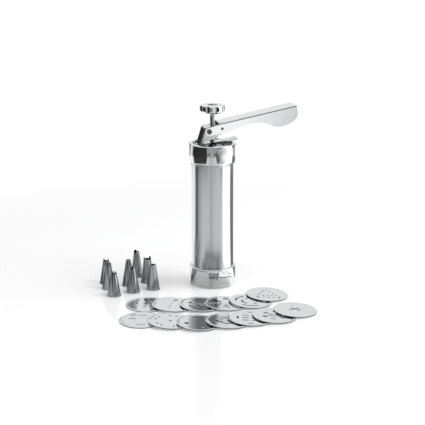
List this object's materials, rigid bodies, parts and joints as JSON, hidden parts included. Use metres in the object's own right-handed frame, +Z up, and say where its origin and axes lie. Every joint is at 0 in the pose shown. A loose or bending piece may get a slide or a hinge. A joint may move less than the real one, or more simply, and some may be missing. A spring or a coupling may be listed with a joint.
{
  "type": "churro maker",
  "caption": "Hand press for churros and piped biscuits: steel barrel between chrome screw collars, toothed rod with a knob, sprung lever, loose shaping discs and piping tips.",
  "frame": {"origin": "centre of the foot's lower face, on the table", "axes": "+Z up along the barrel and rod, +X the way the lever points"},
  "size_m": [0.234, 0.2139, 0.2162],
  "materials": {
    "chrome": "bright polished plate",
    "barrel_steel": "fine lengthwise satin",
    "plated_steel": "plated and polished sheet and bar",
    "spring_steel": "dark oiled spring steel",
    "disc_steel": "polished sheet",
    "tip_steel": "polished drawn sheet",
    "piston_aluminium": "turned",
    "seal_rubber": "matte silicone"
  },
  "bodies": {
    "base": {"bottom_collar": "chrome", "disc_groups": "disc_steel", "disc_pairs": "disc_steel", "disc_four_holes": "disc_steel", "disc_leaf": "disc_steel", "disc_comb": "disc_steel", "disc_snowflake": "disc_steel", "disc_star": "disc_steel", "disc_rows": "disc_steel", "disc_ribbon": "disc_steel", "disc_curls": "disc_steel", "disc_petals": "disc_steel", "disc_arcs": "disc_steel", "disc_triangle": "disc_steel", "tip_leaf": "tip_steel", "tip_star_a": "tip_steel", "tip_star_b": "tip_steel", "tip_round": "tip_steel", "tip_notched": "tip_steel", "tip_ribbon": "tip_steel", "tip_star_c": "tip_steel", "tip_plain": "tip_steel"},
    "holder": {"nozzle_holder": "disc_steel"},
    "barrel": {"barrel": "barrel_steel"},
    "seal": {"cap_seal": "seal_rubber"},
    "head": {"top_collar": "chrome", "bracket": "plated_steel", "bracket_rivets": "plated_steel", "pivot_pin": "chrome", "lever_springs": "spring_steel", "plate_spring": "spring_steel"},
    "lever": {"lever": "chrome", "drive_pin": "plated_steel", "pawl_spring": "spring_steel"},
    "pawl": {"drive_pawl": "spring_steel"},
    "plate": {"holding_plate": "plated_steel"},
    "piston": {"piston": "piston_aluminium"},
    "rod": {"rod": "plated_steel", "piston_screw": "plated_steel", "knob": "chrome", "knob_nut": "plated_steel"}
  },
  "joints": [
    {"name": "barrel_unscrew", "type": "hinge", "parent": "base", "child": "holder", "pos_m": [0, 0, 0.0034], "axis": [0, 0, 1], "range_deg": [0, 1080]},
    {"name": "barrel_rise", "type": "slide", "parent": "holder", "child": "barrel", "axis": [0, 0, 1], "range_m": [0, 0.009]},
    {"name": "cap_rise", "type": "slide", "parent": "barrel", "child": "seal", "axis": [0, 0, 1], "range_m": [0, 0.009]},
    {"name": "cap_unscrew", "type": "hinge", "parent": "seal", "child": "head", "pos_m": [0, 0, 0.1654], "axis": [0, 0, 1], "range_deg": [0, 1080]},
    {"name": "lever_swing", "type": "hinge", "parent": "head", "child": "lever", "pos_m": [-0.0063, 0, 0.1864], "axis": [0, 1, 0], "range_deg": [0, 24], "stiffness_Nm_per_rad": 0.4, "springref_deg": -34.38, "deforming": ["lever_springs"]},
    {"name": "pawl_swing", "type": "hinge", "parent": "lever", "child": "pawl", "pos_m": [0.00918, 0, 0.18932], "axis": [0, 1, 0], "range_deg": [-24, 0], "deforming": ["pawl_spring"]},
    {"name": "plate_tilt", "type": "hinge", "parent": "head", "child": "plate", "pos_m": [-0.0173, 0, 0.17045], "axis": [0, 1, 0], "range_deg": [0, 2.5], "stiffness_Nm_per_rad": 0.2, "springref_deg": -5.73, "deforming": ["plate_spring"]},
    {"name": "piston_slide", "type": "slide", "parent": "head", "child": "piston", "axis": [0, 0, 1], "range_m": [-0.009, 0.125]},
    {"name": "rod_turn", "type": "hinge", "parent": "piston", "child": "rod", "pos_m": [0, 0, 0.0264], "axis": [0, 0, 1], "range_deg": [0, 180]}
  ],
  "couplings": [
    {"joint": "barrel_rise", "follows": "barrel_unscrew", "m_per_rad": 0.00047746},
    {"joint": "cap_rise", "follows": "cap_unscrew", "m_per_rad": 0.00047746},
    {"joint": "pawl_swing", "follows": "lever_swing", "ratio": -1}
  ]
}
